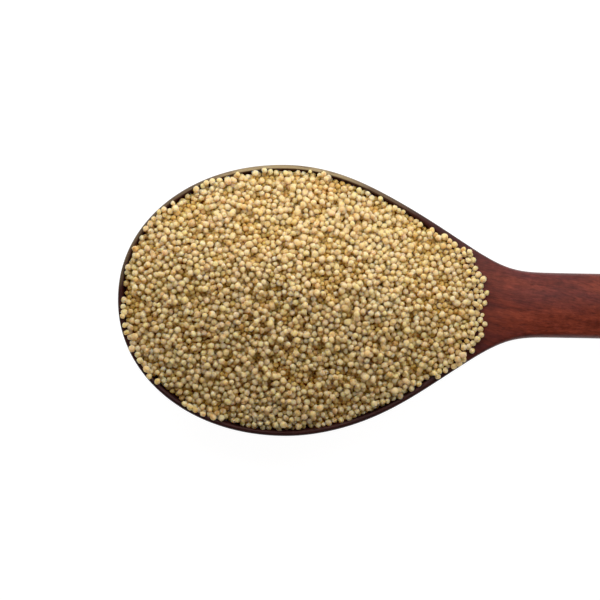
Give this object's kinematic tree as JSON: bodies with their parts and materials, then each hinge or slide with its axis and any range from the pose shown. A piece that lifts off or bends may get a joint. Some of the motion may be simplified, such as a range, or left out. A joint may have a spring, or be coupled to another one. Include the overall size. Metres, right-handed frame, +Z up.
{
  "type": "wooden serving spoon heaped with millet",
  "caption": "Carved dark wooden serving spoon with a deep egg-shaped bowl and a flat handle, heaped with small round millet grains.",
  "frame": {"origin": "on the table, at the middle of the flat spot under the bowl's widest place", "axes": "+X along the handle, away from the bowl; +Z up, with the rim level; +Y to the side that the crest of the heap lies towards"},
  "size_m": [0.2282, 0.072, 0.0365],
  "materials": {
    "wood": "satin",
    "millet": "matte"
  },
  "bodies": {
    "root": {"spoon": "wood", "millet_heap": "millet"}
  },
  "joints": []
}
